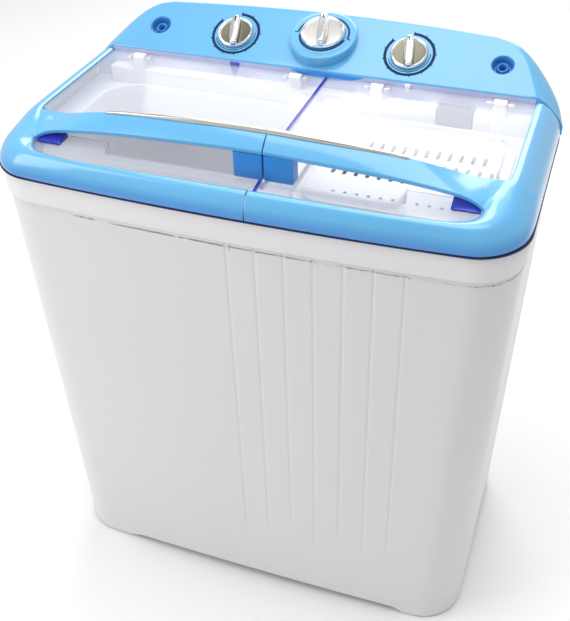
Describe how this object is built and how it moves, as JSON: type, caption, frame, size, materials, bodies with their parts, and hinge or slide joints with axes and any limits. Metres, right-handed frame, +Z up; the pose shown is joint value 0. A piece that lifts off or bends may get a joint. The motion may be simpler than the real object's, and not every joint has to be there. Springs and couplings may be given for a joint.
{
  "type": "twin tub washer",
  "caption": "Compact freestanding washing machine with a wash tub and a spin basket side by side under hinged clear lids, and a sloping control panel with timer knobs behind them.",
  "frame": {"origin": "on the floor under the middle of the machine's overall width and depth", "axes": "+X to the right of someone facing the controls, +Y to the back, +Z up"},
  "size_m": [0.59, 0.349, 0.6879],
  "materials": {
    "blue_plastic": "glossy injection-moulded sky blue",
    "inlet_plastic": "glossy darker blue",
    "clear_plastic": "clear plastic with a faint lavender tint",
    "white_casing": "smooth satin white",
    "white_plastic": "satin white moulding",
    "bright_metal": "bright metallised plastic",
    "grey_plastic": "matt grey",
    "black_plastic": "matt black",
    "rubber": "moulded rubber",
    "steel": "plated sheet and bar",
    "aluminium": "as-cast and turned"
  },
  "bodies": {
    "machine": {"base_tray": "grey_plastic", "foot_front_left": "rubber", "foot_front_right": "rubber", "foot_rear_left": "rubber", "foot_rear_right": "rubber", "cabinet": "white_casing", "rear_cover": "white_casing", "rear_cover_screw_1": "steel", "rear_cover_screw_2": "steel", "rear_cover_screw_3": "steel", "rear_cover_screw_4": "steel", "cord_gland": "black_plastic", "tub_deck": "white_plastic", "wash_tub": "white_plastic", "spin_outer_tub": "white_plastic", "lint_filter": "inlet_plastic", "overflow_duct": "white_plastic", "control_panel": "blue_plastic", "water_inlet_left": "inlet_plastic", "water_inlet_right": "inlet_plastic", "wash_timer": "black_plastic", "spin_timer": "black_plastic", "drain_selector": "grey_plastic", "wash_lid_pin_outer": "steel", "wash_lid_pin_inner": "steel", "spin_lid_pin_outer": "steel", "spin_lid_pin_inner": "steel", "lid_switch": "grey_plastic", "pulsator_seal": "rubber", "reduction_gearbox": "aluminium", "wash_motor": "steel", "drive_belt": "rubber", "drive_mount_plate": "steel", "spin_shaft_seal": "rubber", "spin_motor": "steel", "motor_spring_mount_1": "rubber", "motor_spring_mount_2": "rubber", "motor_spring_mount_3": "rubber", "motor_capacitor": "grey_plastic", "drain_valve": "grey_plastic"},
    "wash_lid": {"wash_lid_frame": "blue_plastic", "wash_lid_window": "clear_plastic", "wash_lid_trim": "bright_metal"},
    "spin_lid": {"spin_lid_frame": "blue_plastic", "spin_lid_window": "clear_plastic", "spin_lid_trim": "bright_metal"},
    "inner_cover": {"spin_inner_cover": "white_plastic"},
    "wash_timer_dial": {"wash_timer_knob": "bright_metal"},
    "spin_timer_dial": {"spin_timer_knob": "bright_metal"},
    "selector_dial": {"selector_knob": "bright_metal"},
    "wash_rotor": {"pulsator": "white_plastic", "pulsator_shaft": "steel", "driven_pulley": "aluminium"},
    "motor_rotor": {"motor_pulley": "aluminium"},
    "spin_rotor": {"spin_basket": "white_plastic", "spin_shaft": "steel", "brake_drum": "aluminium", "laundry_press_plate": "inlet_plastic"},
    "brake": {"brake_lever": "steel"}
  },
  "joints": [
    {"name": "wash_lid_hinge", "type": "hinge", "parent": "machine", "child": "wash_lid", "pos_m": [-0.1195, 0.09, 0.6275], "axis": [-1, 0, 0], "range_deg": [0, 90]},
    {"name": "spin_lid_hinge", "type": "hinge", "parent": "machine", "child": "spin_lid", "pos_m": [0.154, 0.09, 0.6275], "axis": [-1, 0, 0], "range_deg": [0, 90]},
    {"name": "inner_cover_hinge", "type": "hinge", "parent": "machine", "child": "inner_cover", "pos_m": [0.148, 0.066, 0.599], "axis": [-1, 0, 0], "range_deg": [0, 82]},
    {"name": "wash_timer_turn", "type": "hinge", "parent": "machine", "child": "wash_timer_dial", "pos_m": [-0.109, 0.13288, 0.65454], "axis": [0, 0.4695, -0.8829], "range_deg": [0, 330]},
    {"name": "spin_timer_turn", "type": "hinge", "parent": "machine", "child": "spin_timer_dial", "pos_m": [0.109, 0.13288, 0.65454], "axis": [0, 0.4695, -0.8829], "range_deg": [0, 330]},
    {"name": "selector_turn", "type": "hinge", "parent": "machine", "child": "selector_dial", "pos_m": [0.0025, 0.13595, 0.6658], "axis": [0, 0.3256, -0.9455], "range_deg": [-60, 60]},
    {"name": "wash_rotor_spin", "type": "hinge", "parent": "machine", "child": "wash_rotor", "pos_m": [-0.123, -0.025, 0.2], "axis": [0, 0, 1], "continuous": true},
    {"name": "motor_rotor_spin", "type": "hinge", "parent": "machine", "child": "motor_rotor", "pos_m": [-0.042, 0.066, 0.112], "axis": [0, 0, 1], "continuous": true},
    {"name": "spin_rotor_spin", "type": "hinge", "parent": "machine", "child": "spin_rotor", "pos_m": [0.148, -0.025, 0.3], "axis": [0, 0, 1], "continuous": true},
    {"name": "brake_pivot", "type": "hinge", "parent": "machine", "child": "brake", "pos_m": [0.19, 0.033, 0.1545], "axis": [0, 0, 1], "range_deg": [0, 5]}
  ],
  "couplings": [
    {"joint": "motor_rotor_spin", "follows": "wash_rotor_spin", "ratio": 3.36},
    {"joint": "inner_cover_hinge", "follows": "spin_lid_hinge", "ratio": 0.9}
  ]
}
